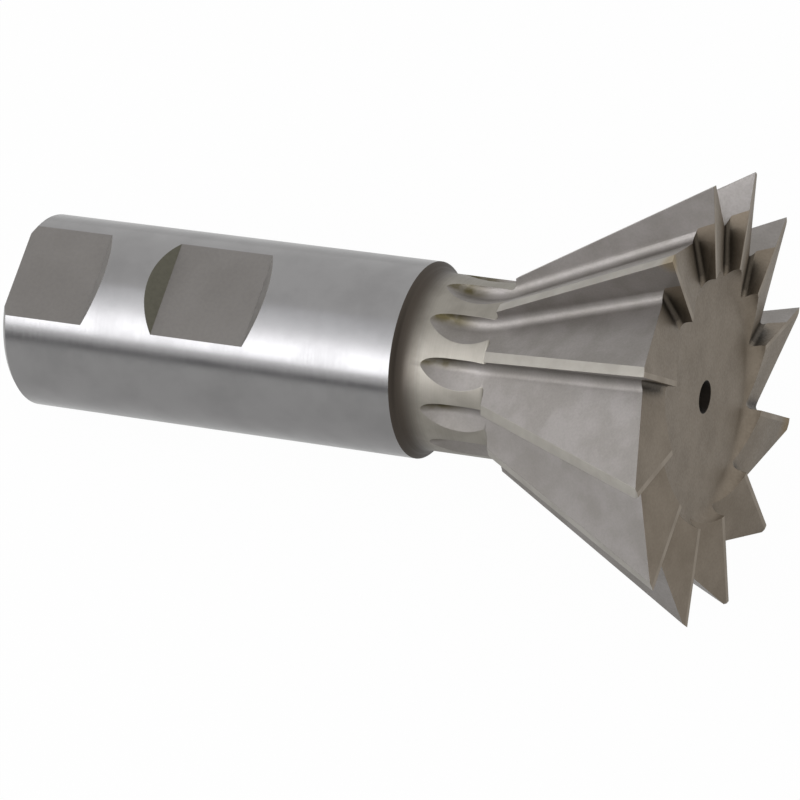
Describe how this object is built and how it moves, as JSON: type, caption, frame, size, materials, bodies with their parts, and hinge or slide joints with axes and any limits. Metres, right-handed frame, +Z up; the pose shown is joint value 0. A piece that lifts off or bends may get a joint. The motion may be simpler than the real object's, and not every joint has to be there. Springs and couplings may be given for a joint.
{
  "type": "dovetail cutter",
  "caption": "Shank-type dovetail milling cutter: a straight-toothed conical head widest at its free end, a relieved neck and a round shank with two clamping flats.",
  "frame": {"origin": "bottom centre of the box round the tool as it lies on a table, resting on two tooth tips and the rear edge of the shank", "axes": "+X runs from the shank towards the toothed head, with the tool's axis rising 8.9 degrees from it; +Z is up and the flats face up and towards -Y"},
  "size_m": [0.1002, 0.0552, 0.0546],
  "materials": {
    "tool_steel": "ground"
  },
  "bodies": {
    "root": {"dovetail_cutter": "tool_steel"}
  },
  "joints": []
}
